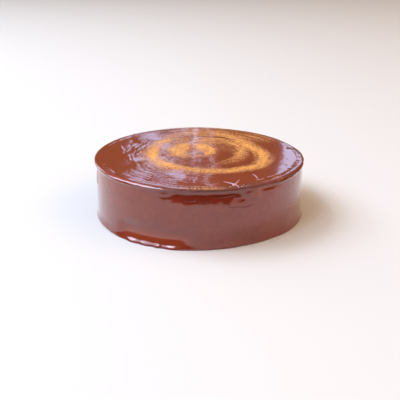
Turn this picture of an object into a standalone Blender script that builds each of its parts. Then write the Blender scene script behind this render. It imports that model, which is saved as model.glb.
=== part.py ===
"""A round, uncut chocolate cake under a poured chocolate glaze.

It was set in a cake ring of 160 mm across and 45 mm deep, turned out, and glazed all over. The glaze makes
a rolled lip at the top edge, a hollow band under it, a few drips, and a thin skirt where it pooled at the
foot. A spatula left a shallow spiral on the top. The frame is in metres with +Z up, and the origin is the
middle of the flat base. The front of the cake faces -Y.
"""

import math

import bpy
from mathutils import Vector, noise

MM = 0.001

# Driving dimensions
HEIGHT = 45.2 * MM
LIP_RADIUS = 81.7 * MM
SIDE_RADIUS = 80.9 * MM
FOOT_RADIUS = 82.2 * MM

# The rolled edge of the glaze: a low bead, a broad shoulder down to the widest point, and a tight turn under
TOP_DIP = 0.3 * MM
RIM_WIDTH = 7.4 * MM
SHOULDER_REACH = 3.8 * MM
SHOULDER_FALL = 2.3 * MM
UNDER_ROUND = 0.7 * MM
UNDER_END = math.radians(-70)
NECK_FALL = 0.5 * MM

# The skirt of pooled glaze at the foot
SKIRT_HEIGHT = 7.0 * MM
FOOT_ROUND = 0.8 * MM

# Fineness of the faceted solid
SECTORS = 128
TOP_RINGS = 18
BEAD_RINGS = 2
SHOULDER_RINGS = 6
UNDER_RINGS = 2
WALL_RINGS = 9
SKIRT_RINGS = 3

# The spatula's spiral on the top, around a point a little off the middle
SPIRAL_MIDDLE = Vector((4.0 * MM, 0.5 * MM))
SPIRAL_PITCH = 10.0 * MM
SPIRAL_DEPTH = 0.08 * MM
SPIRAL_CALM = 9.0 * MM
SPIRAL_WANDER = 2.0
TOP_WAVE = 0.10 * MM
TOP_WAVE_LENGTH = 30.0 * MM

# How full the shoulder is, round the cake: degrees from the front, and how far in mm it stands out of or
# inside the plain curve. The bead stands up at the front only.
SHOULDER_FILL = (
    (-180, 0.50),
    (-90, 0.50),
    (-66, 0.25),
    (-42, -0.35),
    (-24, -0.10),
    (-8, 0.90),
    (16, 0.90),
    (32, 0.00),
    (52, -0.35),
    (72, 0.10),
    (92, 0.15),
    (115, -0.35),
    (150, -0.20),
    (180, 0.50),
)
# The greatest value of the curve that the fill follows over the shoulder
FILL_PEAK = 0.77
BEAD_AT = math.radians(3)
BEAD_SPREAD = math.radians(88)

# The wall's broad dents, and the hollow band right under the lip, deepest at the front
DENT_DEPTH = 0.30 * MM
DENT_LENGTH = 30.0 * MM
HOLLOW_DEPTH = 2.05 * MM
HOLLOW_TOP = 41.9 * MM
HOLLOW_HEIGHT = 9.5 * MM
HOLLOW_CURVE = 1.15
HOLLOW_FRONT = math.radians(3)
HOLLOW_FULL = math.radians(14)
HOLLOW_SPREAD = math.radians(27)
HOLLOW_ELSEWHERE = 0.25

# Uneven rim and skirt, the skirt widest where the glaze pooled at the front left
RIM_UNEVEN = 0.18 * MM
SKIRT_UNEVEN = 0.5 * MM
SKIRT_POOL = 1.2 * MM
SKIRT_POOL_AT = math.radians(-31)
SKIRT_POOL_SPREAD = math.radians(34)
UNEVEN_LENGTH = 22.0 * MM
# How far the lower wall draws in towards the foot on the front right: degrees from the front, and mm
DRAWN_IN = (
    (-180, 0.0),
    (-9, 0.0),
    (0, 1.4),
    (13, 2.0),
    (26, 2.7),
    (40, 2.1),
    (56, 0.4),
    (72, 0.0),
    (180, 0.0),
)
DRAWN_IN_HEIGHT = 18.0 * MM
# The ledge of pooled glaze at the foot on the front left: the wall drops back above it by a steep step and
# a slower one, and comes out again higher up
LEDGE_AT = math.radians(-24)
LEDGE_FULL = math.radians(14)
LEDGE_SPREAD = math.radians(24)
LEDGE_STEP = 1.2 * MM
LEDGE_HEIGHT = 3.7 * MM
LEDGE_HOLLOW = 0.8 * MM
LEDGE_HOLLOW_MIDDLE = 9.0 * MM
LEDGE_HOLLOW_TOP = 20.0 * MM

# How much thinner a drip is at the lip than at its end, and half the height of its rounded end
DRIP_TAPER = 0.80
DRIP_END = 1.5 * MM
# Drips: degrees round from the front, width, length and thickness in mm
DRIPS = (
    (30.0, 7.0, 10.5, 0.90),
    (-72, 9.0, 16.0, 0.60),
    (104, 8.0, 19.0, 0.70),
    (163, 10.0, 12.0, 0.60),
    (-138, 7.0, 15.0, 0.65),
)

GLAZE_COLOUR = (0.150, 0.036, 0.016, 1.0)


def clear_scene():
    for obj in list(bpy.data.objects):
        bpy.data.objects.remove(obj, do_unlink=True)


def ease(low, high, value):
    """0 below low, 1 above high, and a smooth step between them."""
    share = min(1.0, max(0.0, (value - low) / (high - low)))
    return share * share * (3.0 - 2.0 * share)


def hill(middle, half_width, value):
    """A smooth hill of height 1 at the middle that is 0 from half_width away."""
    share = min(1.0, abs(value - middle) / half_width)
    return 0.5 + 0.5 * math.cos(math.pi * share)


def wall_radius(z):
    """The wall's radius at a height, before any relief: straight, then flaring into the skirt."""
    down_skirt = max(0.0, 1.0 - z / SKIRT_HEIGHT)
    return SIDE_RADIUS + (FOOT_RADIUS - SIDE_RADIUS) * down_skirt**2


def outline():
    """Half the cake's section as (radius, height), from the middle of the top down to the base."""
    flat_radius = LIP_RADIUS - RIM_WIDTH
    crest_radius = LIP_RADIUS - SHOULDER_REACH
    widest = HEIGHT - SHOULDER_FALL
    points = [
        (flat_radius * ring / TOP_RINGS, HEIGHT - TOP_DIP)
        for ring in range(TOP_RINGS + 1)
    ]
    for ring in range(1, BEAD_RINGS):
        share = ring / BEAD_RINGS
        radius = flat_radius + (crest_radius - flat_radius) * share
        points.append((radius, HEIGHT - TOP_DIP * (1.0 - ease(0.0, 1.0, share))))
    for ring in range(SHOULDER_RINGS + 1):
        turn = math.pi / 2 * (1.0 - ring / SHOULDER_RINGS)
        radius = crest_radius + SHOULDER_REACH * math.cos(turn)
        points.append((radius, widest + SHOULDER_FALL * math.sin(turn)))
    for ring in range(1, UNDER_RINGS + 1):
        turn = UNDER_END * ring / UNDER_RINGS
        radius = LIP_RADIUS - UNDER_ROUND * (1.0 - math.cos(turn))
        points.append((radius, widest + UNDER_ROUND * math.sin(turn)))
    under_lip = points[-1][1] - NECK_FALL
    for ring in range(WALL_RINGS + 1):
        z = under_lip + (SKIRT_HEIGHT - under_lip) * ring / WALL_RINGS
        points.append((wall_radius(z), z))
    for ring in range(1, SKIRT_RINGS + 1):
        z = SKIRT_HEIGHT + (FOOT_ROUND - SKIRT_HEIGHT) * ring / SKIRT_RINGS
        points.append((wall_radius(z), z))
    points.append((wall_radius(FOOT_ROUND) - 0.15 * FOOT_ROUND, 0.4 * FOOT_ROUND))
    points.append((wall_radius(FOOT_ROUND) - 0.6 * FOOT_ROUND, 0.0))
    points.append((0.0, 0.0))
    return points


def turned_mesh(name):
    """The section turned once round +Z by a Screw modifier, as a plain mesh."""
    section = bpy.data.meshes.new(name + "_section")
    points = [(radius, 0.0, z) for radius, z in outline()]
    section.from_pydata(points, [(i, i + 1) for i in range(len(points) - 1)], [])
    guide = bpy.data.objects.new(name + "_guide", section)
    bpy.context.scene.collection.objects.link(guide)
    screw = guide.modifiers.new("Turn", "SCREW")
    screw.axis = "Z"
    screw.angle = math.tau
    screw.steps = SECTORS
    screw.render_steps = SECTORS
    screw.use_merge_vertices = True
    screw.merge_threshold = 0.00001
    graph = bpy.context.evaluated_depsgraph_get()
    mesh = bpy.data.meshes.new_from_object(guide.evaluated_get(graph))
    mesh.name = name
    bpy.data.objects.remove(guide)
    return mesh


def top_relief(x, y):
    """How far the top stands above its own level: the spatula's spiral, and a slow wave."""
    from_middle = Vector((x, y)) - SPIRAL_MIDDLE
    distance = from_middle.length
    turn = math.atan2(from_middle.y, from_middle.x)
    wander = noise.noise(Vector((x, y, 0.0)) / TOP_WAVE_LENGTH)
    phase = math.tau * distance / SPIRAL_PITCH - turn + SPIRAL_WANDER * wander
    strength = ease(0.0, SPIRAL_CALM, distance)
    strength *= 1.0 - ease(LIP_RADIUS - 2 * RIM_WIDTH, LIP_RADIUS - RIM_WIDTH, math.hypot(x, y))
    return SPIRAL_DEPTH * strength * math.cos(phase) + TOP_WAVE * strength * wander


def around(azimuth, z, length):
    """Smooth noise on the wall, without a seam, from -1 to 1."""
    place = Vector((math.sin(azimuth) * SIDE_RADIUS, -math.cos(azimuth) * SIDE_RADIUS, z))
    return noise.noise(place / length)


def angle_between(a, b):
    return abs((a - b + math.pi) % math.tau - math.pi)


def table_at(table, degrees):
    """The value at an angle in a table of (degrees, value), with a smooth step between its rows."""
    for (a, low), (b, high) in zip(table, table[1:]):
        if a <= degrees <= b:
            return low + (high - low) * ease(a, b, degrees)
    return table[-1][1]


def wall_relief(azimuth, z):
    """How far the glaze on the wall stands out: dents, the hollow band, drips, the foot and its skirt."""
    out = DENT_DEPTH * around(azimuth, z, DENT_LENGTH)
    out -= table_at(DRAWN_IN, math.degrees(azimuth)) * MM * (1.0 - ease(0.0, DRAWN_IN_HEIGHT, z))
    front = 1.0 - ease(HOLLOW_FULL, HOLLOW_SPREAD, angle_between(azimuth, HOLLOW_FRONT))
    hollow = HOLLOW_ELSEWHERE + (1.0 - HOLLOW_ELSEWHERE) * front
    down = (HOLLOW_TOP - z) / HOLLOW_HEIGHT
    if 0.0 <= down <= 1.0:
        out -= HOLLOW_DEPTH * hollow * (1.0 - down) ** HOLLOW_CURVE
    for degrees, width, length, thickness in DRIPS:
        across = SIDE_RADIUS * angle_between(azimuth, math.radians(degrees))
        bottom = HEIGHT - length * MM
        along = ease(bottom - DRIP_END, bottom + DRIP_END, z)
        swelling = 1.0 - DRIP_TAPER * ease(bottom, HEIGHT - SHOULDER_FALL, z)
        out += thickness * MM * hill(0.0, width * MM / 2, across) * along * swelling
    skirt = max(0.0, 1.0 - z / SKIRT_HEIGHT) ** 2
    pool = hill(0.0, SKIRT_POOL_SPREAD, angle_between(azimuth, SKIRT_POOL_AT))
    out += skirt * (SKIRT_UNEVEN * around(azimuth, 0.0, UNEVEN_LENGTH) + SKIRT_POOL * pool)
    ledge = 1.0 - ease(LEDGE_FULL, LEDGE_SPREAD, angle_between(azimuth, LEDGE_AT))
    back = LEDGE_STEP * ease(FOOT_ROUND, LEDGE_HEIGHT, z)
    back += LEDGE_HOLLOW * ease(LEDGE_HEIGHT, LEDGE_HOLLOW_MIDDLE, z)
    out -= ledge * back * (1.0 - ease(LEDGE_HOLLOW_MIDDLE, LEDGE_HOLLOW_TOP, z))
    return out


def rim_relief(azimuth, radius, z):
    """How far the bead and the shoulder stand out of the plain section."""
    crest_radius = LIP_RADIUS - SHOULDER_REACH
    flat_radius = LIP_RADIUS - RIM_WIDTH
    across = (radius - crest_radius) / SHOULDER_REACH
    up = (z - HEIGHT + SHOULDER_FALL) / SHOULDER_FALL
    if up < 0.0:
        return 0.0
    no_bead = 1.0 - hill(0.0, BEAD_SPREAD, angle_between(azimuth, BEAD_AT))
    inwards = ease(0.5 * flat_radius, flat_radius, radius) if across < 0.0 else 0.0
    raised = (HEIGHT - z) * no_bead * inwards
    if radius < flat_radius:
        return raised
    turn = math.atan2(up, max(0.0, across))
    in_bead = hill(crest_radius, RIM_WIDTH, radius)
    uneven = RIM_UNEVEN * around(azimuth, HEIGHT, UNEVEN_LENGTH)
    low_on_shoulder = math.sin(2 * turn) * math.cos(turn) / FILL_PEAK
    fill = table_at(SHOULDER_FILL, math.degrees(azimuth)) * MM * low_on_shoulder
    return raised + fill + uneven * in_bead * min(1.0, up)


def shape_glaze(mesh):
    """Moves each point of the turned mesh along its normal by the relief there, and at the foot level."""
    moved = []
    for vertex in mesh.vertices:
        x, y, z = vertex.co
        facing_up = max(0.0, vertex.normal.z) ** 2
        azimuth = math.atan2(x, -y)
        outwards = vertex.normal if z > FOOT_ROUND else Vector((x, y, 0.0)).normalized()
        offset = facing_up * top_relief(x, y) + (1.0 - facing_up) * wall_relief(azimuth, z)
        moved.append(vertex.co + outwards * (offset + rim_relief(azimuth, math.hypot(x, y), z)))
    for vertex, place in zip(mesh.vertices, moved):
        vertex.co = place
    mesh.update()


def glaze_material():
    material = bpy.data.materials.new("Chocolate glaze")
    material.use_nodes = True
    shader = material.node_tree.nodes["Principled BSDF"]
    shader.inputs["Base Color"].default_value = GLAZE_COLOUR
    shader.inputs["Roughness"].default_value = 0.15
    shader.inputs["Metallic"].default_value = 0.0
    return material


def make_cake(collection):
    mesh = turned_mesh("chocolate_cake")
    shape_glaze(mesh)
    mesh.shade_smooth()
    mesh.materials.clear()
    mesh.materials.append(glaze_material())
    cake = bpy.data.objects.new("chocolate_cake", mesh)
    collection.objects.link(cake)
    return cake


def main():
    clear_scene()
    collection = bpy.data.collections.new("Chocolate cake")
    bpy.context.scene.collection.children.link(collection)
    make_cake(collection)


main()
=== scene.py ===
"""A round chocolate cake under a poured chocolate glaze, with a spiral of fine dusting on its top.

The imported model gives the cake's body and its place. This script puts the real surface over it: the
glaze with its ripples, drips and pooled foot, and the dusting. Then come the table, the light and the camera.
"""

import math
import random

import bpy
import numpy as np
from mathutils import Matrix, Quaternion, Vector, noise
from mathutils.bvhtree import BVHTree


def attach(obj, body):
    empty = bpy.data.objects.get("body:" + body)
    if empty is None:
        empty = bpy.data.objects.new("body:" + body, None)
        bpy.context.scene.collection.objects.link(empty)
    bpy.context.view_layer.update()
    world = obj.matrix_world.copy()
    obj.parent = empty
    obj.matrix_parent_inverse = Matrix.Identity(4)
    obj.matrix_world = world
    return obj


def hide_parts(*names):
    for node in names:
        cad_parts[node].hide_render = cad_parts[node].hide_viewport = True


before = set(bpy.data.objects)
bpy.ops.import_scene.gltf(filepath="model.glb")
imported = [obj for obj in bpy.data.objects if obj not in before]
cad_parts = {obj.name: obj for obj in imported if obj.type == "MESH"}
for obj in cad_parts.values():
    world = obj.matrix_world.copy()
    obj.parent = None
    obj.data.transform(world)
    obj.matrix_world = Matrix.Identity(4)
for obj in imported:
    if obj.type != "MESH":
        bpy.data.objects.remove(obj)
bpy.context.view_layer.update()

# The glaze.
# Dark chocolate glaze, poured warm over the turned-out cake and left to set: it rolls over at the top edge,
# thins to a hollow band under that roll, runs down in a few drips and pools in a skirt at the foot.

MM = 0.001
HEIGHT = 45.2 * MM
LIP_RADIUS = 81.7 * MM
SIDE_RADIUS = 80.9 * MM
FOOT_RADIUS = 82.2 * MM
TOP_DIP = 0.3 * MM
RIM_WIDTH = 7.4 * MM
SHOULDER_REACH = 3.8 * MM
SHOULDER_FALL = 2.3 * MM
UNDER_ROUND = 0.7 * MM
UNDER_END = math.radians(-70)
NECK_FALL = 0.5 * MM
SKIRT_HEIGHT = 7.0 * MM
FOOT_ROUND = 0.8 * MM

SECTORS = 640
MIDDLE_SPACING = 1.3 * MM
OUTER_SPACING = 0.65 * MM
OUTER_FROM = 58.0 * MM
WALL_SPACING = 0.8 * MM


def ease(low, high, value):
    """0 below low, 1 above high, and a smooth step between them."""
    share = min(1.0, max(0.0, (value - low) / (high - low)))
    return share * share * (3.0 - 2.0 * share)


def hill(middle, half_width, value):
    """A smooth hill of height 1 at the middle that is 0 from half_width away."""
    share = min(1.0, abs(value - middle) / half_width)
    return 0.5 + 0.5 * math.cos(math.pi * share)


def wall_radius(z):
    down_skirt = max(0.0, 1.0 - z / SKIRT_HEIGHT)
    return SIDE_RADIUS + (FOOT_RADIUS - SIDE_RADIUS) * down_skirt**2


def evenly(start, end, spacing):
    return list(np.linspace(start, end, round(abs(end - start) / spacing) + 1))


def glaze_outline():
    """Half the glaze's section as (radius, height), from the middle of the top down to the base."""
    flat_radius = LIP_RADIUS - RIM_WIDTH
    crest_radius = LIP_RADIUS - SHOULDER_REACH
    widest = HEIGHT - SHOULDER_FALL
    radii = evenly(0.0, OUTER_FROM, MIDDLE_SPACING) + evenly(OUTER_FROM, flat_radius, OUTER_SPACING)[1:]
    points = [(radius, HEIGHT - TOP_DIP) for radius in radii]
    for share in np.linspace(0.0, 1.0, 5)[1:-1]:
        radius = flat_radius + (crest_radius - flat_radius) * share
        points.append((radius, HEIGHT - TOP_DIP * (1.0 - ease(0.0, 1.0, share))))
    for turn in np.linspace(math.pi / 2, 0.0, 15):
        radius = crest_radius + SHOULDER_REACH * math.cos(turn)
        points.append((radius, widest + SHOULDER_FALL * math.sin(turn)))
    for turn in np.linspace(0.0, UNDER_END, 6)[1:]:
        radius = LIP_RADIUS - UNDER_ROUND * (1.0 - math.cos(turn))
        points.append((radius, widest + UNDER_ROUND * math.sin(turn)))
    for z in evenly(points[-1][1] - NECK_FALL, FOOT_ROUND, WALL_SPACING):
        points.append((wall_radius(z), z))
    foot = wall_radius(FOOT_ROUND)
    for turn in np.linspace(0.0, math.pi / 2, 4)[1:]:
        out = foot - 0.6 * FOOT_ROUND * (1.0 - math.cos(turn))
        points.append((out, FOOT_ROUND * (1.0 - math.sin(turn))))
    return points


# The spatula's spiral on the top: a slow wave, and the thin lines that its edge left from turn to turn.
SPIRAL_MIDDLE = Vector((4.0 * MM, 0.5 * MM))
SPIRAL_PITCH = 10.0 * MM
SPIRAL_LINE = 0.030 * MM
SPIRAL_LINE_SHARE = 0.13
SPIRAL_CALM = 9.0 * MM
SPIRAL_WANDER = 0.35
SPIRAL_UNEVEN = 0.12
TOP_WAVE = 0.10 * MM
TOP_WAVE_LENGTH = 30.0 * MM
PATCH_WAVE_SHARE = 0.25
PATCH_LENGTH = 12.0 * MM
# Where the waves die away to the right and to the left, and how much of them goes.
SMOOTH_FROM = 25.0 * MM
SMOOTH_TO = 55.0 * MM
SMOOTH_SHARE = 0.72
SMOOTH_LEFT_FROM = -22.0 * MM
SMOOTH_LEFT_TO = -42.0 * MM
SMOOTH_LEFT_SHARE = 0.8
FINE_WAVE = 0.010 * MM
FINE_WAVE_LENGTH = 7.0 * MM
# The low ridge where the spatula was lifted at the left, from one end to the other.
LIFT_FROM = Vector((-66.5 * MM, 31.0 * MM))
LIFT_TO = Vector((-57.5 * MM, -7.0 * MM))
LIFT_HEIGHT = 0.045 * MM
LIFT_WIDTH = 3.0 * MM
LIFT_WOBBLE = 1.5 * MM
LIFT_WOBBLE_LENGTH = 7.0 * MM
LIFT_RAGGED = 0.8
LIFT_RAGGED_LENGTH = 6.0 * MM


def lift_relief(x, y):
    """The low ridge at the left, highest half way along."""
    along = LIFT_TO - LIFT_FROM
    out = Vector((x, y)) - LIFT_FROM
    share = out.dot(along) / along.length_squared
    if not 0.0 < share < 1.0:
        return 0.0
    wobble = LIFT_WOBBLE * noise.noise(Vector((y, 0.0, 0.0)) / LIFT_WOBBLE_LENGTH)
    off = (out - along * share + Vector((wobble, 0.0))).length
    ragged = 1.0 + LIFT_RAGGED * noise.noise(Vector((x, y, 2 * MM)) / LIFT_RAGGED_LENGTH)
    return LIFT_HEIGHT * math.sin(math.pi * share) ** 0.5 * hill(0.0, LIFT_WIDTH / 2, off) * ragged


def top_relief(x, y):
    """How far the top stands above its own level."""
    from_middle = Vector((x, y)) - SPIRAL_MIDDLE
    distance = from_middle.length
    turn = math.atan2(from_middle.y, from_middle.x)
    wander = noise.noise(Vector((x, y, 0.0)) / TOP_WAVE_LENGTH)
    patch = noise.noise(Vector((x, y, 5 * MM)) / PATCH_LENGTH)
    turns = distance / SPIRAL_PITCH - turn / math.tau + SPIRAL_WANDER * wander + SPIRAL_UNEVEN * patch
    off_line = abs(turns - round(turns)) / SPIRAL_LINE_SHARE
    strength = ease(0.0, SPIRAL_CALM, distance)
    strength *= 1.0 - ease(LIP_RADIUS - 2 * RIM_WIDTH, LIP_RADIUS - RIM_WIDTH, math.hypot(x, y))
    smoothed = SMOOTH_SHARE * ease(SMOOTH_FROM, SMOOTH_TO, x)
    smoothed += SMOOTH_LEFT_SHARE * ease(SMOOTH_LEFT_FROM, SMOOTH_LEFT_TO, x)
    strength *= 1.0 - smoothed
    line = SPIRAL_LINE * math.exp(-off_line * off_line) * ease(-0.2, 0.3, patch)
    fine = FINE_WAVE * noise.noise(Vector((x, y, 9 * MM)) / FINE_WAVE_LENGTH)
    return strength * (TOP_WAVE * (wander + PATCH_WAVE_SHARE * patch) - line) + fine + lift_relief(x, y)


# How full the shoulder is, round the cake: degrees from the front, and how far in mm it stands out of or
# inside the plain curve. The bead stands up at the front only.
SHOULDER_FILL = (
    (-180, 0.50),
    (-90, 0.50),
    (-66, 0.25),
    (-42, -0.35),
    (-24, -0.10),
    (-8, 0.90),
    (16, 0.90),
    (32, 0.00),
    (52, -0.35),
    (72, 0.10),
    (92, 0.15),
    (115, -0.35),
    (150, -0.20),
    (180, 0.50),
)
# The greatest value of the curve that the fill follows over the shoulder.
FILL_PEAK = 0.77
# A fold along the top of the lip at the front, where a second wave of glaze stopped, and how far round the
# cake the raised bead reaches.
FOLD_DEPTH = 0.45 * MM
FOLD_AT = math.radians(3)
FOLD_SPREAD = math.radians(27)
FOLD_TURN = math.radians(46)
FOLD_WIDTH = math.radians(17)
BEAD_AT = math.radians(3)
BEAD_SPREAD = math.radians(88)


def table_at(table, degrees):
    """The value at an angle in a table of (degrees, value), with a smooth step between its rows."""
    for (a, low), (b, high) in zip(table, table[1:]):
        if a <= degrees <= b:
            return low + (high - low) * ease(a, b, degrees)
    return table[-1][1]


# The wall's broad dents, and the hollow band right under the lip, deepest at the front.
DENT_DEPTH = 0.30 * MM
DENT_LENGTH = 30.0 * MM
HOLLOW_DEPTH = 2.05 * MM
HOLLOW_TOP = 41.9 * MM
HOLLOW_HEIGHT = 9.5 * MM
HOLLOW_CURVE = 1.15
HOLLOW_FRONT = math.radians(3)
HOLLOW_FULL = math.radians(14)
HOLLOW_SPREAD = math.radians(27)
HOLLOW_ELSEWHERE = 0.25
HOLLOW_RAGGED = 0.35
HOLLOW_RAGGED_LENGTH = 6.6 * MM
HOLLOW_WANDER = math.radians(5)
HOLLOW_WANDER_LENGTH = 8.0 * MM
# A smaller hollow right of the front drip.
POCKET_DEPTH = 0.62 * MM
POCKET_HEIGHT = 3.4 * MM
POCKET_AT = math.radians(38.5)
POCKET_SPREAD = math.radians(8.5)
# How uneven the rim and the skirt at the foot are, and the pool of glaze at the front left of the skirt.
RIM_UNEVEN = 0.18 * MM
RIM_FINE = 0.045 * MM
RIM_FINE_LENGTH = 5.0 * MM
SKIRT_UNEVEN = 0.5 * MM
SKIRT_POOL = 1.2 * MM
SKIRT_POOL_AT = math.radians(-31)
SKIRT_POOL_SPREAD = math.radians(34)
SKIRT_LUMP = 0.3 * MM
SKIRT_LUMP_LENGTH = 9.0 * MM
UNEVEN_LENGTH = 22.0 * MM
# How far the lower wall draws in towards the foot on the front right: degrees from the front, and mm.
DRAWN_IN = (
    (-180, 0.0),
    (-9, 0.0),
    (0, 1.4),
    (13, 2.0),
    (26, 2.7),
    (40, 2.1),
    (56, 0.4),
    (72, 0.0),
    (180, 0.0),
)
DRAWN_IN_HEIGHT = 18.0 * MM
# The ledge of pooled glaze at the foot on the front left: the wall drops back above it by a steep step and
# a slower one, and comes out again higher up.
LEDGE_AT = math.radians(-24)
LEDGE_FULL = math.radians(14)
LEDGE_SPREAD = math.radians(24)
LEDGE_STEP = 1.2 * MM
LEDGE_HEIGHT = 3.7 * MM
LEDGE_HOLLOW = 0.8 * MM
LEDGE_HOLLOW_MIDDLE = 9.0 * MM
LEDGE_HOLLOW_TOP = 20.0 * MM
# The lumps in that ledge: degrees from the front, and half their width in degrees.
LEDGE_LUMPS = ((-36, 5.5), (-28, 5.0), (-21.5, 2.6), (-13.5, 6.5))
BETWEEN_LUMPS = 0.8 * MM
# Upright streaks on the wall, where the glaze ran: each is several times as long as it is wide.
STREAK_WIDTH = 4.5 * MM
STREAK_STRETCH = 6.0
STREAK_DEPTH = 0.035 * MM
# Drips, each thinner at the lip than at its rounded end: degrees round from the front, then width, length
# and thickness in mm.
DRIP_TAPER = 0.80
DRIP_END = 1.5 * MM
DRIPS = (
    (30.0, 7.0, 10.5, 0.90),
    (-72, 9.0, 16.0, 0.60),
    (104, 8.0, 19.0, 0.70),
    (163, 10.0, 12.0, 0.60),
    (-138, 7.0, 15.0, 0.65),
)


def around(azimuth, z, length):
    """Smooth noise on the wall, without a seam, from -1 to 1."""
    place = Vector((math.sin(azimuth) * SIDE_RADIUS, -math.cos(azimuth) * SIDE_RADIUS, z))
    return noise.noise(place / length)


def angle_between(a, b):
    return abs((a - b + math.pi) % math.tau - math.pi)


def wall_relief(azimuth, z):
    """How far the glaze on the wall stands out: dents, the hollow band, drips, the foot and its skirt."""
    out = DENT_DEPTH * around(azimuth, z, DENT_LENGTH)
    out -= table_at(DRAWN_IN, math.degrees(azimuth)) * MM * (1.0 - ease(0.0, DRAWN_IN_HEIGHT, z))
    out += STREAK_DEPTH * around(azimuth, z / STREAK_STRETCH, STREAK_WIDTH)
    wander = HOLLOW_WANDER * around(azimuth, 3 * z, HOLLOW_WANDER_LENGTH)
    front = 1.0 - ease(HOLLOW_FULL, HOLLOW_SPREAD, angle_between(azimuth, HOLLOW_FRONT) + wander)
    hollow = HOLLOW_ELSEWHERE + (1.0 - HOLLOW_ELSEWHERE) * front
    ragged = HOLLOW_RAGGED * around(azimuth, z / 2, HOLLOW_RAGGED_LENGTH)
    down = (HOLLOW_TOP - z) / (HOLLOW_HEIGHT * (1.0 + ragged))
    if -0.2 <= down <= 1.0:
        out -= HOLLOW_DEPTH * hollow * (1.0 - max(0.0, down)) ** HOLLOW_CURVE
    pocket = hill(0.0, POCKET_SPREAD, angle_between(azimuth, POCKET_AT) + 0.3 * wander) ** 0.5
    out -= POCKET_DEPTH * pocket * ease(HOLLOW_TOP - POCKET_HEIGHT, HOLLOW_TOP, z)
    for degrees, width, length, thickness in DRIPS:
        across = SIDE_RADIUS * angle_between(azimuth, math.radians(degrees))
        bottom = HEIGHT - length * MM
        along = ease(bottom - DRIP_END, bottom + DRIP_END, z)
        up_drip = (z - bottom) / (HEIGHT - SHOULDER_FALL - bottom)
        swelling = 1.0 - DRIP_TAPER * min(1.0, max(0.0, up_drip))
        out += thickness * MM * hill(0.0, width * MM / 2, across) * along * swelling
    skirt = max(0.0, 1.0 - z / SKIRT_HEIGHT) ** 2
    pool = hill(0.0, SKIRT_POOL_SPREAD, angle_between(azimuth, SKIRT_POOL_AT))
    lumps = SKIRT_LUMP * pool * around(azimuth, z / 2, SKIRT_LUMP_LENGTH)
    out += skirt * (SKIRT_UNEVEN * around(azimuth, 0.0, UNEVEN_LENGTH) + SKIRT_POOL * pool + lumps)
    ledge = 1.0 - ease(LEDGE_FULL, LEDGE_SPREAD, angle_between(azimuth, LEDGE_AT))
    if ledge == 0.0 or z > LEDGE_HOLLOW_TOP:
        return out
    lump = max(hill(at, half_width, math.degrees(azimuth)) for at, half_width in LEDGE_LUMPS)
    back = LEDGE_STEP * ease(FOOT_ROUND, LEDGE_HEIGHT, z)
    back += LEDGE_HOLLOW * ease(LEDGE_HEIGHT, LEDGE_HOLLOW_MIDDLE, z)
    out -= ledge * back * (1.0 - ease(LEDGE_HOLLOW_MIDDLE, LEDGE_HOLLOW_TOP, z))
    out -= ledge * BETWEEN_LUMPS * (1.0 - lump) * (1.0 - ease(0.0, LEDGE_HEIGHT, z))
    return out


def rim_relief(azimuth, radius, z):
    """How far the bead and the shoulder stand out of the plain section."""
    across = (radius - LIP_RADIUS + SHOULDER_REACH) / SHOULDER_REACH
    up = (z - HEIGHT + SHOULDER_FALL) / SHOULDER_FALL
    flat_radius = LIP_RADIUS - RIM_WIDTH
    if up < 0.0:
        return 0.0
    no_bead = 1.0 - hill(0.0, BEAD_SPREAD, angle_between(azimuth, BEAD_AT))
    raised = (HEIGHT - z) * no_bead * ease(0.5 * flat_radius, flat_radius, radius) if across < 0.0 else 0.0
    if radius < flat_radius:
        return raised
    turn = math.atan2(up, max(0.0, across))
    in_bead = hill(0.0, RIM_WIDTH, LIP_RADIUS - SHOULDER_REACH - radius)
    uneven = RIM_UNEVEN * around(azimuth, HEIGHT, UNEVEN_LENGTH)
    fine = RIM_FINE * around(azimuth, radius, RIM_FINE_LENGTH)
    low_on_shoulder = math.sin(2 * turn) * math.cos(turn) / FILL_PEAK
    fill = table_at(SHOULDER_FILL, math.degrees(azimuth)) * MM * low_on_shoulder
    fold = FOLD_DEPTH * hill(0.0, FOLD_SPREAD, angle_between(azimuth, FOLD_AT))
    fold *= hill(FOLD_TURN, FOLD_WIDTH, turn)
    return raised + fill - fold + (uneven + fine) * in_bead * min(1.0, up)


def sectors_at(radius):
    """Fewer points on the small rings near the middle, halved each time the radius halves."""
    count = SECTORS
    for limit in (40 * MM, 20 * MM, 10 * MM):
        count = count // 2 if radius < limit else count
    return count


def stitched(inner, outer):
    """Faces between two rings of point numbers, the outer with as many points as the inner or twice that."""
    count = len(inner)
    faces = []
    for i in range(count):
        after = (i + 1) % count
        if len(outer) == count:
            faces.append((inner[i], outer[i], outer[after], inner[after]))
            continue
        a, b, c = outer[2 * i], outer[2 * i + 1], outer[(2 * i + 2) % len(outer)]
        faces += [(inner[i], a, b), (inner[i], b, inner[after]), (inner[after], b, c)]
    return faces


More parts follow.
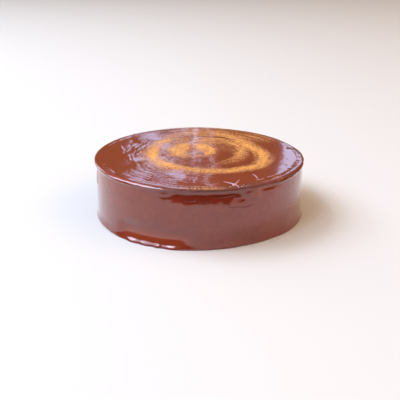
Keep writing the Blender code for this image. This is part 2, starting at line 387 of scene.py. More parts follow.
def glaze_points():
    """The glaze's points and faces, each point moved out along its normal by the relief there."""
    outline = [Vector((radius, z)) for radius, z in glaze_outline()]
    points = [Vector((0.0, 0.0, outline[0].y + top_relief(0.0, 0.0)))]
    faces = []
    before = None
    for index in range(1, len(outline)):
        radius, z = outline[index]
        ahead = outline[min(index + 1, len(outline) - 1)] - outline[index - 1]
        facing = Vector((-ahead.y, ahead.x)).normalized()
        facing_up = max(0.0, facing.y) ** 2
        count = sectors_at(radius)
        ring = range(len(points), len(points) + count)
        for sector in range(count):
            azimuth = math.tau * sector / count - math.pi
            out = Vector((math.sin(azimuth), -math.cos(azimuth), 0.0))
            x, y = radius * out.x, radius * out.y
            offset = rim_relief(azimuth, radius, z)
            if facing_up > 0.001:
                offset += facing_up * top_relief(x, y)
            if facing_up < 0.999:
                offset += (1.0 - facing_up) * wall_relief(azimuth, z)
            normal = out * facing.x + Vector((0.0, 0.0, facing.y)) if z > FOOT_ROUND else out
            points.append(Vector((x, y, z)) + normal * offset)
        if before is None:
            faces += [(0, i, ring[(n + 1) % count]) for n, i in enumerate(ring)]
        else:
            faces += stitched(before, ring)
        before = ring
    faces.append(tuple(reversed(before)))
    return points, faces


points, faces = glaze_points()
glaze_mesh = bpy.data.meshes.new("chocolate_glaze")
glaze_mesh.from_pydata(points, [], faces)
glaze_mesh.shade_smooth()
glaze = bpy.data.objects.new("chocolate_glaze", glaze_mesh)
bpy.context.scene.collection.objects.link(glaze)

# How rough the skin of the glaze is from place to place: the top is finely rippled where the spatula dragged
# through setting glaze on the left, the bead is bubbly, and the wall, which ran smooth, hardly shows any.
DRAGGED_FROM = (-60.0 * MM, -45.0 * MM)
DRAGGED_TO = (-16.0 * MM, -4.0 * MM)
DRAGGED_UNEVEN = 12.0 * MM
DRAGGED_LENGTH = 14.0 * MM
CALM_SHARE = 0.85
PLAIN_RIPPLE = 0.06
BEAD_RIPPLE = 0.35
LIP_RIPPLE = 0.12
LIP_RIPPLE_HEIGHT = 9.0 * MM
LIP_RIPPLE_END = (1.2, 2.2)


def skin_ripple(place):
    """How strong the fine ripples are at a place on the glaze, from 0 to about 1."""
    azimuth = math.atan2(place.x, -place.y)
    radius = math.hypot(place.x, place.y)
    patch = noise.noise(Vector((place.x, place.y, 7 * MM)) / DRAGGED_LENGTH)
    on_top = ease(HEIGHT - 3 * MM, HEIGHT - 1 * MM, place.z)
    dragged = ease(*DRAGGED_FROM, place.x + DRAGGED_UNEVEN * patch)
    dragged *= 1.0 - CALM_SHARE * ease(*DRAGGED_TO, place.x)
    calm = 1.0 - CALM_SHARE * ease(SMOOTH_FROM, SMOOTH_TO, place.x)
    bead = ease(LIP_RADIUS - RIM_WIDTH, LIP_RADIUS - SHOULDER_REACH, radius)
    top = (1.0 - bead) * calm * (PLAIN_RIPPLE + dragged) * (1.0 + 1.2 * patch) + BEAD_RIPPLE * bead
    near_lip = hill(HOLLOW_TOP, LIP_RIPPLE_HEIGHT, place.z) * (1.0 - ease(*LIP_RIPPLE_END, abs(azimuth)))
    return on_top * max(0.0, top) + (1.0 - on_top) * (PLAIN_RIPPLE + LIP_RIPPLE * near_lip)


# Painted shade: the base colour is painted darker in the fold along the front of the lip and on the lip's
# face at the front right. Each line is (degrees from the front, how much painted shade) along the lip.
PAINTED_SHADE_FOLD = (
    (-180, 0.0),
    (-34, 0.0),
    (-22, 0.5),
    (-8, 0.95),
    (14, 1.0),
    (28, 0.7),
    (44, 0.0),
    (180, 0.0),
)
PAINTED_SHADE_FACE = (
    (-180, 0.0),
    (24, 0.0),
    (34, 0.4),
    (64, 0.45),
    (80, 0.0),
    (180, 0.0),
)
# Painted shade along the rim at the back right, inside the lip.
PAINTED_SHADE_RIM = (
    (-180, 0.5),
    (-150, 0.0),
    (80, 0.0),
    (110, 0.9),
    (160, 0.8),
    (180, 0.5),
)
# Where those three lines lie: the radius of the last, and the heights of the others.
RIM_LINE = 79.4 * MM
RIM_LINE_WIDTH = 3.2 * MM
FOLD_LINE = 44.6 * MM
FOLD_LINE_WIDTH = 1.0 * MM
FACE_LINE = 44.0 * MM
FACE_LINE_WIDTH = 2.2 * MM
LINE_UNEVEN = 0.2 * MM
# Painted light: the wall above the ledge at the foot is painted a lighter brown, and so is the front drip.
PAINTED_LIGHT_MIDDLE = 6.5 * MM
PAINTED_LIGHT_SPREAD = 7.0 * MM
FRONT_DRIP = DRIPS[0]
PAINTED_LIGHT_DRIP = 0.8


def glaze_painted_shade(place):
    """How much painted shade darkens the glaze's colour at a place, from 0 to 1."""
    azimuth = math.atan2(place.x, -place.y)
    degrees = math.degrees(azimuth)
    radius = math.hypot(place.x, place.y)
    if radius < LIP_RADIUS - RIM_WIDTH:
        return 0.0
    high = ease(HEIGHT - SHOULDER_FALL, HEIGHT - 1 * MM, place.z)
    rim = table_at(PAINTED_SHADE_RIM, degrees) * hill(RIM_LINE, RIM_LINE_WIDTH, radius) * high
    uneven = LINE_UNEVEN * around(azimuth, 0.0, UNEVEN_LENGTH)
    fold = table_at(PAINTED_SHADE_FOLD, degrees) * hill(FOLD_LINE + uneven, FOLD_LINE_WIDTH, place.z)
    face = table_at(PAINTED_SHADE_FACE, degrees) * hill(FACE_LINE + uneven, FACE_LINE_WIDTH, place.z)
    return min(1.0, max(fold, face, rim))


def glaze_painted_light(place):
    """How much the glaze's colour is painted lighter at a place, as painted light, from 0 to 1."""
    azimuth = math.atan2(place.x, -place.y)
    ledge = 1.0 - ease(LEDGE_FULL, LEDGE_SPREAD, angle_between(azimuth, LEDGE_AT))
    degrees, width, length, _ = FRONT_DRIP
    across = SIDE_RADIUS * angle_between(azimuth, math.radians(degrees))
    over_drip = hill(HEIGHT - 0.55 * length * MM, 0.6 * length * MM, place.z) * hill(0.0, width * MM, across)
    return max(ledge * hill(PAINTED_LIGHT_MIDDLE, PAINTED_LIGHT_SPREAD, place.z), PAINTED_LIGHT_DRIP * over_drip)


# The dusting's strokes, each a line of places: degrees anticlockwise from +X round the dusting's middle, the
# distance from it as a share of the lip's radius, and how thickly the powder lies there.
DUST_MIDDLE = Vector((3.8 * MM, 0.0))
OUTER_STROKE = (
    (100, 0.76, 0.20),
    (118, 0.69, 0.45),
    (132, 0.60, 0.70),
    (149, 0.54, 0.80),
    (166, 0.50, 1.00),
    (188, 0.48, 1.00),
    (227, 0.465, 0.90),
    (250, 0.455, 0.72),
    (278, 0.483, 0.75),
    (304, 0.53, 0.88),
    (324, 0.58, 0.95),
    (353, 0.553, 1.05),
    (392, 0.51, 0.95),
    (408, 0.56, 0.80),
    (420, 0.62, 0.60),
    (440, 0.72, 0.30),
)
INNER_STROKE = (
    (-75, 0.29, 0.15),
    (-32, 0.30, 0.45),
    (0, 0.33, 0.75),
    (25, 0.39, 0.80),
    (47, 0.45, 0.55),
    (70, 0.50, 0.45),
    (110, 0.46, 0.30),
)
CORE_STROKE = (
    (-10, 0.00, 0.60),
    (34, 0.05, 0.95),
    (95, 0.26, 1.10),
    (118, 0.36, 0.95),
    (150, 0.33, 0.85),
    (180, 0.25, 0.80),
    (215, 0.11, 0.60),
    (260, 0.00, 0.40),
    (350, 0.00, 0.60),
)
# How fast a stroke thins out to its inner and its outer side, and how uneven it is.
INNER_EDGE = 0.052
OUTER_EDGE = 0.088
CORE_FALL = 0.19
STROKE_WANDER = 0.014
STROKE_UNEVEN = 0.35
STREAK_SHARE = 0.45
# The thin cloud over the back of the top: how thick, and how far it follows the swirls.
BACK_CLOUD = 0.42
BACK_CLOUD_SWIRL = 0.9
# Smaller clouds at the left, at the back right, on the bead at the front and by the creases: the middle and
# half the width across, the same towards the back, all as shares of the lip's radius, then how thick, and how
# far each follows the swirls and the streaks.
CLOUDS = (
    (-0.30, 0.55, -0.35, 0.55, 0.16, 0.8, 0.0),
    (0.64, 0.38, 0.58, 0.32, 0.33, 0.8, 0.0),
    (0.03, 0.32, -0.93, 0.09, 0.62, 1.0, 0.0),
    (0.68, 0.12, -0.66, 0.10, 0.22, 0.0, 1.5),
)
MIDDLE_CLOUD = 0.05
# A narrow stripe across the middle where some of the dusting was rubbed off.
RUBBED_AT = -5.5 * MM
RUBBED_WIDTH = 13.0 * MM
RUBBED_FRONT = (-34 * MM, -24 * MM)
RUBBED_BACK = (44 * MM, 60 * MM)
RUBBED_SHARE = 0.55


def along_stroke(stroke, degrees):
    """The distance and the amount at an angle along a stroke, or None past its ends."""
    for (a, near, thin), (b, far, thick) in zip(stroke, stroke[1:]):
        if a <= degrees <= b:
            share = ease(a, b, degrees)
            return near + (far - near) * share, thin + (thick - thin) * share
    return None


def dust_thickness(x, y):
    """How thickly the dusting lies at a place on the top, from 0 to about 1."""
    place = Vector((x, y)) - DUST_MIDDLE
    distance = place.length / LIP_RADIUS
    degrees = math.degrees(math.atan2(place.y, place.x))
    swirl = noise.noise(Vector((distance * 24 - degrees / 70, degrees / 50, 0.0)))
    streak = noise.noise(Vector((distance * 55 - degrees / 60, degrees / 18, 3.0)))
    thickness = 0.0
    for stroke in (OUTER_STROKE, INNER_STROKE, CORE_STROKE):
        for turn in (-360, 0, 360):
            found = along_stroke(stroke, degrees + turn)
            if found is None:
                continue
            off = distance - found[0] + STROKE_WANDER * swirl
            inside = CORE_FALL if stroke is CORE_STROKE else INNER_EDGE
            off /= (OUTER_EDGE if off > 0.0 else inside) * (1.0 + STROKE_UNEVEN * swirl)
            thickness = max(thickness, found[1] * math.exp(-off * off))
    right, back = x / LIP_RADIUS, y / LIP_RADIUS
    haze = BACK_CLOUD * ease(-0.05, 0.55, back) * hill(0.10, 0.75, right) * (1.0 + BACK_CLOUD_SWIRL * swirl)
    haze += MIDDLE_CLOUD * (1.0 - ease(0.45, 0.75, distance))
    for at_x, half_x, at_y, half_y, thick, by_swirl, by_streak in CLOUDS:
        cloud = thick * hill(at_x, half_x, right) * hill(at_y, half_y, back)
        haze += cloud * (1.0 + by_swirl * swirl + by_streak * streak)
    thickness = thickness * (1.0 + 0.2 * swirl) + haze * (1.0 - 0.6 * min(1.0, thickness))
    rubbed = hill(RUBBED_AT, RUBBED_WIDTH / 2, x) * ease(*RUBBED_FRONT, y) * (1.0 - ease(*RUBBED_BACK, y))
    return max(0.0, thickness * (1.0 + STREAK_SHARE * streak) * (1.0 - RUBBED_SHARE * rubbed))


dust = glaze_mesh.attributes.new("dusting", "FLOAT", "POINT")
lowest_dust = HEIGHT - 1.2 * MM
dust.data.foreach_set(
    "value", [dust_thickness(p.x, p.y) if p.z > lowest_dust else 0.0 for p in points]
)
ripple = glaze_mesh.attributes.new("ripple", "FLOAT", "POINT")
ripple.data.foreach_set("value", [skin_ripple(p) for p in points])
# Painted shade: the attribute named thick holds how much darker the base colour is painted.
thick = glaze_mesh.attributes.new("thick", "FLOAT", "POINT")
thick.data.foreach_set("value", [glaze_painted_shade(p) for p in points])
thin = glaze_mesh.attributes.new("thin", "FLOAT", "POINT")
thin.data.foreach_set("value", [glaze_painted_light(p) for p in points])
# Places for a noise that is drawn out along the spatula's turns, 4 to a radian and one every 3 mm across.
SWIRL_LONG = 4.0
SWIRL_ACROSS = 3.0 * MM


def swirl_place(place):
    out = place.xy - SPIRAL_MIDDLE
    way = out.normalized() * SWIRL_LONG
    return (way.x, way.y, out.length / SWIRL_ACROSS)


swirls = glaze_mesh.attributes.new("swirl", "FLOAT_VECTOR", "POINT")
swirls.data.foreach_set("vector", [value for p in points for value in swirl_place(p)])


def linear(code):
    """An sRGB hex code as the linear colour that a shader takes."""
    values = [int(code[i : i + 2], 16) / 255 for i in (1, 3, 5)]
    return [v / 12.92 if v <= 0.04045 else ((v + 0.055) / 1.055) ** 2.4 for v in values] + [1.0]


def add_node(tree, kind, links=None, **settings):
    """Adds a node. Settings name its properties or its inputs (i1 is input 1), and links feed its inputs."""
    node = tree.nodes.new(kind)
    for key, value in settings.items():
        if hasattr(node, key):
            setattr(node, key, value)
        else:
            node.inputs[int(key[1:]) if key[1:].isdigit() else key.replace("_", " ")].default_value = value
    for key, socket in (links or {}).items():
        tree.links.new(socket, node.inputs[key])
    return node


# Set dark chocolate glaze: cocoa, sugar and gelatine, poured warm, which sets to a wet-looking gloss over a
# deep brown with paler flecks at random. Painted light makes the brown lighter above the foot's ledge and
# down the front drip, and painted shade makes it darker along the lip. A coat gives the gloss its sharp
# mirror image.
GLAZE_BROWN = "#83301f"
DEEP_BROWN = "#74281a"
FLECK_AND_PAINTED_LIGHT_BROWN = "#a8502c"
PAINTED_SHADE_BROWN = "#43150b"
POOL_SIZE = 11.0 * MM
FLECK_SIZE = 3.5 * MM
FLECK_SHARE = 0.20
PAINTED_LIGHT_SHARE = 0.45
RIPPLE_SIZE = 3.2 * MM
RIPPLE_SHARE = 0.5
DRAWN_RIPPLE_SHARE = 2.2
RIPPLE_HEIGHT = 0.28 * MM
GLAZE_ROUGHNESS = 0.09
GLAZE_IOR = 1.5
COAT_ROUGHNESS = 0.05
# The dusting lies on it as a dry, rough, golden powder that takes the gloss away where it is thick. Its real
# grains are far too fine to show, so they are drawn as clumps of about a millimetre.
DUST_GOLD = "#e7aa52"
CLUMP_SIZE = 1.2 * MM
DUST_ROUGHNESS = 0.9
DUST_COVER = 0.97

chocolate = bpy.data.materials.new("poured chocolate glaze, dusted")
chocolate.use_nodes = True
tree = chocolate.node_tree
tree.nodes.clear()
output = add_node(tree, "ShaderNodeOutputMaterial")
place = add_node(tree, "ShaderNodeTexCoord").outputs["Object"]
lies = add_node(tree, "ShaderNodeAttribute", attribute_name="dusting").outputs["Fac"]
grain = add_node(tree, "ShaderNodeTexNoise", {"Vector": place}, Scale=1 / CLUMP_SIZE, Detail=4.0)
lumps = add_node(
    tree,
    "ShaderNodeMapRange",
    {"Value": grain.outputs["Fac"]},
    From_Min=0.36,
    From_Max=0.64,
    To_Min=0.45,
    To_Max=1.55,
)
lies_lumpy = add_node(tree, "ShaderNodeMath", {0: lies, 1: lumps.outputs[0]}, operation="MULTIPLY")
mask = add_node(
    tree,
    "ShaderNodeMapRange",
    {"Value": lies_lumpy.outputs[0]},
    From_Min=0.12,
    From_Max=1.22,
    To_Max=DUST_COVER,
)
pooled = add_node(tree, "ShaderNodeTexNoise", {"Vector": place}, Scale=1 / POOL_SIZE, Detail=3.0)
deeper = add_node(tree, "ShaderNodeMapRange", {"Value": pooled.outputs["Fac"]}, From_Min=0.45, From_Max=0.90)
brown = add_node(tree, "ShaderNodeMix", {0: deeper.outputs[0]}, data_type="RGBA")
brown.inputs[6].default_value = linear(GLAZE_BROWN)
brown.inputs[7].default_value = linear(DEEP_BROWN)
flecks = add_node(tree, "ShaderNodeTexNoise", {"Vector": place}, Scale=1 / FLECK_SIZE, Detail=4.0)
thinner = add_node(
    tree,
    "ShaderNodeMapRange",
    {"Value": flecks.outputs["Fac"]},
    From_Min=0.48,
    From_Max=0.78,
    To_Max=FLECK_SHARE,
)
# Painted light: the lighter brown of the random flecks is also laid over the wall above the ledge and the
# front drip.
is_painted_light = add_node(tree, "ShaderNodeAttribute", attribute_name="thin").outputs["Fac"]
painted_light = add_node(tree, "ShaderNodeMath", {0: is_painted_light}, operation="MULTIPLY", i1=PAINTED_LIGHT_SHARE)
fleck_and_painted_light = add_node(
    tree, "ShaderNodeMath", {0: thinner.outputs[0], 1: painted_light.outputs[0]}, operation="MAXIMUM"
)
flecked_and_lit = add_node(tree, "ShaderNodeMix", {0: fleck_and_painted_light.outputs[0], 6: brown.outputs[2]}, data_type="RGBA")
flecked_and_lit.inputs[7].default_value = linear(FLECK_AND_PAINTED_LIGHT_BROWN)
# Painted shade: the brown is mixed towards a near-black brown where the attribute thick is set.
is_painted_shade = add_node(tree, "ShaderNodeAttribute", attribute_name="thick").outputs["Fac"]
shaded = add_node(tree, "ShaderNodeMix", {0: is_painted_shade, 6: flecked_and_lit.outputs[2]}, data_type="RGBA")
shaded.inputs[7].default_value = linear(PAINTED_SHADE_BROWN)
colour = add_node(tree, "ShaderNodeMix", {0: mask.outputs[0], 6: shaded.outputs[2]}, data_type="RGBA")
colour.inputs[7].default_value = linear(DUST_GOLD)
roughness = add_node(
    tree, "ShaderNodeMapRange", {"Value": mask.outputs[0]}, To_Min=GLAZE_ROUGHNESS, To_Max=DUST_ROUGHNESS
)
coat = add_node(tree, "ShaderNodeMapRange", {"Value": mask.outputs[0]}, To_Min=1.0, To_Max=0.0)
strength = add_node(tree, "ShaderNodeAttribute", attribute_name="ripple").outputs["Fac"]
waves = add_node(tree, "ShaderNodeTexNoise", {"Vector": place}, Scale=1 / RIPPLE_SIZE, Detail=3.0)
swirl = add_node(tree, "ShaderNodeAttribute", attribute_name="swirl").outputs["Vector"]
drawn = add_node(tree, "ShaderNodeTexNoise", {"Vector": swirl}, Scale=1.0, Detail=2.0)
fine_waves = add_node(
    tree, "ShaderNodeMath", {0: waves.outputs["Fac"]}, operation="MULTIPLY", i1=RIPPLE_SHARE
)
more_drawn = add_node(
    tree, "ShaderNodeMath", {0: drawn.outputs["Fac"]}, operation="MULTIPLY", i1=DRAWN_RIPPLE_SHARE
)
both_waves = add_node(
    tree, "ShaderNodeMath", {0: fine_waves.outputs[0], 1: more_drawn.outputs[0]}, operation="ADD"
)
waves_here = add_node(tree, "ShaderNodeMath", {0: both_waves.outputs[0], 1: strength}, operation="MULTIPLY")
skin = add_node(tree, "ShaderNodeBump", {"Height": waves_here.outputs[0]}, Distance=RIPPLE_HEIGHT)
shader = add_node(
    tree,
    "ShaderNodeBsdfPrincipled",
    {
        "Normal": skin.outputs[0],
        "Coat Normal": skin.outputs[0],
        "Base Color": colour.outputs[2],
        "Roughness": roughness.outputs[0],
        "Coat Weight": coat.outputs[0],
    },
    IOR=GLAZE_IOR,
    Coat_Roughness=COAT_ROUGHNESS,
)
tree.links.new(shader.outputs[0], output.inputs["Surface"])
glaze_mesh.materials.append(chocolate)

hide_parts("chocolate_cake")
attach(glaze, "root")

# Marks in the glaze.
# Small raised things in the glaze: a peak with drawn-out arms where something touched the front right of
# the top, creases beside it, sagging folds under the lip, bubbles round the rim and pits at the right. The
# peak, its arms and the creases are painted pale pink as a painted highlight; the folds and the pits carry
# painted shade.

skin_tree = BVHTree.FromPolygons(points, faces)
mark_points = []
mark_faces = []


def on_top(x, y):
    """The surface and its normal at a place on the top, given in mm."""
    hit = skin_tree.ray_cast(Vector((x * MM, y * MM, 2 * HEIGHT)), Vector((0.0, 0.0, -1.0)))
    return hit[0], hit[1]


def on_wall(degrees, z):
    """The surface and its normal on the wall, given in degrees from the front and mm above the base."""
    azimuth = math.radians(degrees)
    out = Vector((math.sin(azimuth), -math.cos(azimuth), 0.0))
    hit = skin_tree.ray_cast(out * 2 * LIP_RADIUS + Vector((0.0, 0.0, z * MM)), -out)
    return hit[0], hit[1]


def smooth_path(places, count):
    """Points along a smooth curve through some places."""
    ends = [2 * Vector(places[0]) - Vector(places[1])] + [Vector(p) for p in places]
    ends.append(2 * Vector(places[-1]) - Vector(places[-2]))
    path = []
    for step in range(count):
        at = step / (count - 1) * (len(places) - 1)
        i = min(int(at), len(places) - 2)
        t = at - i
        a, b, c, d = ends[i : i + 4]
        bend = (2 * a - 5 * b + 4 * c - d) * t**2 + (3 * b - a - 3 * c + d) * t**3
        path.append(0.5 * (2 * b + (c - a) * t + bend))
    return path


def ridge(surface, places, start_width, end_width, height_share=0.45, count=26, across=7):
    """A raised line with a half-round section that lies along a path on the glaze."""
    found = [surface(p.x, p.y) for p in smooth_path(places, count)]
    first = len(mark_points)
    for i, (place, normal) in enumerate(found):
        ahead = (found[min(i + 1, count - 1)][0] - found[max(i - 1, 0)][0]).normalized()
        side = normal.cross(ahead).normalized()
        share = i / (count - 1)
        width = (start_width + (end_width - start_width) * share) * MM
        width *= min(1.0, 0.1 + 6.0 * share, 0.1 + 6.0 * (1.0 - share)) ** 0.5
        for j in range(across):
            turn = math.pi * j / (across - 1)
            rise = width * height_share * (math.sin(turn) - 0.15)
            mark_points.append(place + side * (0.5 * width * math.cos(turn)) + normal * rise)
    for i in range(count - 1):
        for j in range(across - 1):
            a = first + i * across + j
            mark_faces.append((a, a + 1, a + 1 + across, a + across))
    mark_faces.append(tuple(first + j for j in range(across)))
    mark_faces.append(tuple(first + (count - 1) * across + j for j in reversed(range(across))))


def bubble(surface, x, y, radius, height_share=0.6, around_it=10, up_it=4):
    """A low dome on the glaze, with its radius in mm."""
    place, normal = surface(x, y)
    side = normal.orthogonal().normalized()
    other = normal.cross(side)
    first = len(mark_points)
    for i in range(up_it):
        turn = math.pi / 2 * i / up_it
        ring_radius = radius * MM * math.cos(turn)
        rise = radius * MM * height_share * (math.sin(turn) - 0.12)
        for j in range(around_it):
            angle = math.tau * j / around_it
            out = side * math.cos(angle) + other * math.sin(angle)
            mark_points.append(place + out * ring_radius + normal * rise)
    mark_points.append(place + normal * (radius * MM * height_share * 0.88))
    top = len(mark_points) - 1
    for i in range(up_it):
        for j in range(around_it):
            a = first + i * around_it + j
            b = first + i * around_it + (j + 1) % around_it
            if i < up_it - 1:
                mark_faces.append((a, b, b + around_it, a + around_it))
            else:
                mark_faces.append((a, b, top))


# The peak and its arms, then the creases, as places on the top in mm. They are rougher than the glaze, and
# their pale pink is a painted highlight.
bubble(on_top, 24.3, -69.3, 1.7, height_share=0.35, around_it=14)
ridge(on_top, ((24.2, -69.0), (26.8, -63.8), (28.3, -58.3)), 1.3, 0.5)
ridge(on_top, ((25.0, -68.8), (20.7, -65.5), (16.6, -63.0)), 1.1, 0.35)
ridge(on_top, ((24.8, -70.0), (26.5, -73.0), (27.0, -76.0)), 1.1, 0.6)
ridge(on_top, ((24.4, -69.6), (22.4, -73.6)), 0.8, 0.4)
bubble(on_top, 29.0, -73.4, 0.7)
bubble(on_top, 21.2, -74.2, 0.5)
bubble(on_top, 30.6, -70.4, 0.5)
ridge(on_top, ((38.0, -47.2), (39.9, -50.6), (41.2, -56.6)), 0.45, 1.05)
ridge(on_top, ((40.2, -59.4), (42.8, -59.0), (46.2, -56.3)), 0.8, 0.45)
ridge(on_top, ((47.8, -53.8), (50.5, -52.1), (53.4, -50.4)), 0.5, 0.7)
highlighted_faces = len(mark_faces)
plain_points = len(mark_points)
# The folds under the lip, as places on the wall in degrees from the front and mm up.
ridge(on_wall, ((8.0, 38.3), (13.0, 39.0), (18.5, 39.7)), 0.6, 1.0)
ridge(on_wall, ((11.0, 35.6), (13.2, 34.0), (15.6, 33.0)), 0.5, 0.9)
ridge(on_wall, ((14.0, 32.2), (16.6, 31.2), (20.0, 31.6)), 0.6, 0.8)
ridge(on_wall, ((19.6, 31.0), (23.5, 30.4), (27.6, 31.4)), 0.8, 1.0)
ridge(on_wall, ((-7.5, 36.8), (-3.8, 36.5), (-1.0, 37.0)), 0.5, 0.7)
ridge(on_wall, ((-0.4, 35.9), (2.4, 36.1), (5.2, 36.4)), 0.7, 0.5)
fold_points = len(mark_points)
# The larger bubbles on the front of the rim, as (x, y, radius) in mm.
RIM_BUBBLES = (
    (-9.2, -75.6, 0.7),
    (-7.0, -76.6, 1.1),
    (-4.5, -77.0, 1.0),
    (-1.6, -77.6, 0.8),
    (0.7, -76.6, 1.2),
    (4.0, -76.4, 0.9),
    (7.1, -74.8, 0.7),
    (9.8, -74.4, 1.0),
    (12.4, -75.0, 0.8),
)
for x, y, radius in RIM_BUBBLES:
    bubble(on_top, x, y, radius)
# Pits and specks in the smooth patch at the right.
RIGHT_SPECKS = (
    (71.8, 16.4, 2.2),
    (74.4, 14.0, 1.6),
    (77.6, 9.6, 1.5),
    (78.6, 2.0, 1.3),
    (77.6, -6.5, 1.3),
    (74.8, -15.6, 1.4),
    (69.6, -28.4, 1.5),
    (66.3, -34.6, 1.5),
    (64.8, -27.5, 0.8),
    (67.5, -11.8, 0.7),
    (63.0, -24.3, 0.9),
    (65.1, -25.5, 0.7),
    (72.3, 19.0, 1.3),
    (74.3, 13.8, 1.1),
    (67.9, -30.0, 0.6),
    (70.3, -25.7, 0.8),
    (72.5, -20.3, 0.9),
    (60.2, -35.8, 0.7),
)
first_pit = len(mark_points)
for x, y, radius in RIGHT_SPECKS:
    bubble(on_top, x, y, radius, height_share=0.25)
last_pit = len(mark_points)
# Fine bubbles all along the rim, most at the front: how many, the middle and the spread in degrees from the
# front, and the least and the greatest distance from the cake's middle and size, in mm.
FINE_BUBBLES = 150
FINE_ROUND = (5.0, 55.0)
FINE_RING = (73.0, 79.5)
FINE_SIZE = (0.22, 0.5)
chance = random.Random(5)
for _ in range(FINE_BUBBLES):
    azimuth = math.radians(chance.gauss(*FINE_ROUND))
    radius = chance.uniform(*FINE_RING)
    x, y = radius * math.sin(azimuth), -radius * math.cos(azimuth)
    bubble(on_top, x, y, chance.uniform(*FINE_SIZE), around_it=8, up_it=3)

marks_mesh = bpy.data.meshes.new("glaze_marks")
marks_mesh.from_pydata(mark_points, [], mark_faces)
marks_mesh.shade_smooth()
marks_mesh.materials.append(chocolate)
# Painted shade: the folds under the lip are painted a little dark, and the pits at the right very dark.
DARK_FOLD = 0.35
DARK_PIT = 0.8
mark_painted_shade = [0.0] * len(mark_points)
mark_painted_shade[plain_points:fold_points] = [DARK_FOLD] * (fold_points - plain_points)
mark_painted_shade[first_pit:last_pit] = [DARK_PIT] * (last_pit - first_pit)
dark_marks = marks_mesh.attributes.new("thick", "FLOAT", "POINT")
dark_marks.data.foreach_set("value", mark_painted_shade)
# Painted highlight: the peak, its arms and the creases are painted a pale pink, with a rougher finish and no
# coat.
HIGHLIGHT_PINK = "#bb9ba4"
HIGHLIGHT_ROUGHNESS = 0.38
painted_highlight = bpy.data.materials.new("glaze with painted highlight")
painted_highlight.use_nodes = True
painted_highlight_shader = painted_highlight.node_tree.nodes["Principled BSDF"]
painted_highlight_shader.inputs["Base Color"].default_value = linear(HIGHLIGHT_PINK)
painted_highlight_shader.inputs["Roughness"].default_value = HIGHLIGHT_ROUGHNESS
marks_mesh.materials.append(painted_highlight)
marks_mesh.polygons.foreach_set("material_index", [int(i < highlighted_faces) for i in range(len(mark_faces))])
marks = bpy.data.objects.new("glaze_marks", marks_mesh)
bpy.context.scene.collection.objects.link(marks)
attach(marks, "root")

# The table.
# A plain pale table top with matt paint, far wider than the picture. The cake stands on it, and the glaze on
# the wall mirrors it.

TABLE_SIDE = 12.0
half = TABLE_SIDE / 2
corners = [(-half, -half, 0.0), (half, -half, 0.0), (half, half, 0.0), (-half, half, 0.0)]
table_mesh = bpy.data.meshes.new("table")
table_mesh.from_pydata(corners, [], [(0, 1, 2, 3)])
table = bpy.data.objects.new("table", table_mesh)
bpy.context.scene.collection.objects.link(table)
# Matt wall paint, rolled on: no gloss that shows, and a trace of green in the white.
PAINT_WHITE = "#d9dfd9"
PAINT_ROUGHNESS = 0.8
table_paint = bpy.data.materials.new("pale matt paint")
table_paint.use_nodes = True
paint_shader = table_paint.node_tree.nodes["Principled BSDF"]
paint_shader.inputs["Base Color"].default_value = linear(PAINT_WHITE)
paint_shader.inputs["Roughness"].default_value = PAINT_ROUGHNESS
table_mesh.materials.append(table_paint)

# The light.
# Daylight from windows, which the gloss mirrors: a tall one behind the cake with two slits of light beside
# it, a wide one behind to the right, one behind to the left, three high at the left, and a soft one in front
# to the right. The ceiling and a warm fill aren't mirrored. Between them the room is dark and warm.


def panel(name, azimuth, elevation, distance, width, height, colour_code, radiance, mirrored=True, lean=0):
    """A soft rectangular light that faces the cake. Azimuth 0 is behind it, and 90 to its right. Its top can
    lean to the left by some degrees."""
    light = bpy.data.lights.new(name, "AREA")
    light.shape = "RECTANGLE"
    light.size = width
    light.size_y = height
    light.color = linear(colour_code)[:3]
    light.energy = radiance * math.pi * width * height
    lamp = bpy.data.objects.new(name, light)
    turn, rise = math.radians(azimuth), math.radians(elevation)
    way = Vector((math.sin(turn) * math.cos(rise), math.cos(turn) * math.cos(rise), math.sin(rise)))
    lamp.location = way * distance
    lamp.rotation_mode = "QUATERNION"
    lamp.rotation_quaternion = way.to_track_quat("Z", "Y") @ Quaternion((0.0, 0.0, 1.0), -math.radians(lean))
    lamp.visible_camera = False
    lamp.visible_glossy = mirrored
    bpy.context.scene.collection.objects.link(lamp)
    return lamp


WINDOW_BLUE = "#bcd2ff"
WINDOW_PALE = "#dce4ff"
panel("back_window", -4.05, 19.0, 4.0, 0.385, 0.98, WINDOW_BLUE, 1.4)
panel("window_gap", -0.72, 16.2, 4.0, 0.08, 0.30, "#d6dcff", 2.0)
panel("window_crack", 1.0, 19.0, 4.0, 0.026, 0.98, "#e6e2ff", 1.0)
panel("right_window", 13.1, 21.3, 4.0, 0.72, 0.76, WINDOW_BLUE, 1.7, lean=9)
panel("left_window", -78.0, 49.0, 2.2, 1.35, 1.3, WINDOW_PALE, 7.2)
panel("side_window", -114.0, 49.0, 2.2, 1.3, 1.3, WINDOW_PALE, 3.8)
panel("near_window", -143.0, 54.0, 2.4, 0.6, 0.7, "#dfe6ff", 8.0)
panel("front_window", 140.0, 27.0, 3.0, 2.0, 0.9, "#fff0e2", 0.9)
panel("far_window", -46.0, 22.0, 2.6, 1.5, 1.0, WINDOW_PALE, 2.2)
panel("ceiling", 20.0, 85.0, 2.2, 3.0, 3.0, "#fff2e4", 0.25, mirrored=False)
panel("warm_fill", 100.0, 38.0, 5.0, 5.0, 3.75, "#ffb478", 2.1, mirrored=False)

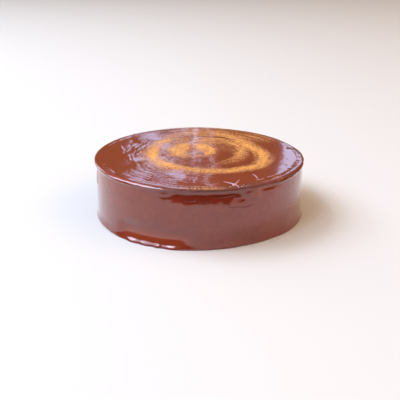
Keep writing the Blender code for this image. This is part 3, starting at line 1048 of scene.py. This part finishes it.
ROOM_LOW = "#82603c"
ROOM_HIGH = "#b8aca0"
ROOM_DARK = 0.06
BACKGROUND_PALE = "#f6f3f0"
world = bpy.data.worlds.new("warm dark room")
bpy.context.scene.world = world
world.use_nodes = True
tree = world.node_tree
tree.nodes.clear()
output = add_node(tree, "ShaderNodeOutputWorld")
way = add_node(tree, "ShaderNodeTexCoord").outputs["Generated"]
parts = add_node(tree, "ShaderNodeSeparateXYZ", {0: way})
ramp = add_node(tree, "ShaderNodeValToRGB", {0: parts.outputs["Z"]})
stops = ramp.color_ramp.elements
stops[0].position, stops[0].color = 0.35, linear(ROOM_LOW)
stops[1].position, stops[1].color = 0.80, linear(ROOM_HIGH)
# The half of the room behind the cake is lit, and so is the ceiling. The rest is nearly dark.
behind = add_node(tree, "ShaderNodeMapRange", {"Value": parts.outputs["Y"]}, From_Min=-0.6, From_Max=0.3)
above = add_node(tree, "ShaderNodeMapRange", {"Value": parts.outputs["Z"]}, From_Min=0.3, From_Max=0.8)
lit = add_node(tree, "ShaderNodeMath", {0: behind.outputs[0], 1: above.outputs[0]}, operation="MAXIMUM")
strength = add_node(tree, "ShaderNodeMapRange", {"Value": lit.outputs[0]}, To_Min=ROOM_DARK)
room = add_node(
    tree, "ShaderNodeBackground", {"Color": ramp.outputs["Color"], "Strength": strength.outputs[0]}
)
# The camera sees a plain pale background instead.
pale = add_node(tree, "ShaderNodeBackground", Color=linear(BACKGROUND_PALE))
seen = add_node(tree, "ShaderNodeLightPath").outputs["Is Camera Ray"]
both = add_node(tree, "ShaderNodeMixShader", {0: seen, 1: room.outputs[0], 2: pale.outputs[0]})
tree.links.new(both.outputs[0], output.inputs["Surface"])
bpy.context.scene.view_settings.view_transform = "Standard"

# The camera.
# A short telephoto lens, 0.53 m from the cake and 21 degrees above it.

CAMERA_AIM = Vector((0.65 * MM, -0.43 * MM, 6.6 * MM))
CAMERA_DISTANCE = 0.5285
CAMERA_ELEVATION = math.radians(21.35)
CAMERA_ROLL = math.radians(0.25)
LENS_MM = 59.1
SENSOR_MM = 36.0
lens = bpy.data.cameras.new("camera")
lens.lens = LENS_MM
lens.sensor_width = SENSOR_MM
lens.clip_start = 0.01
lens.clip_end = 30.0
camera = bpy.data.objects.new("camera", lens)
back = Vector((0.0, -math.cos(CAMERA_ELEVATION), math.sin(CAMERA_ELEVATION)))
camera.location = CAMERA_AIM + back * CAMERA_DISTANCE
camera.rotation_euler = back.to_track_quat("Z", "Y").to_euler()
camera.rotation_euler.rotate_axis("Z", CAMERA_ROLL)
bpy.context.scene.collection.objects.link(camera)
bpy.context.scene.camera = camera
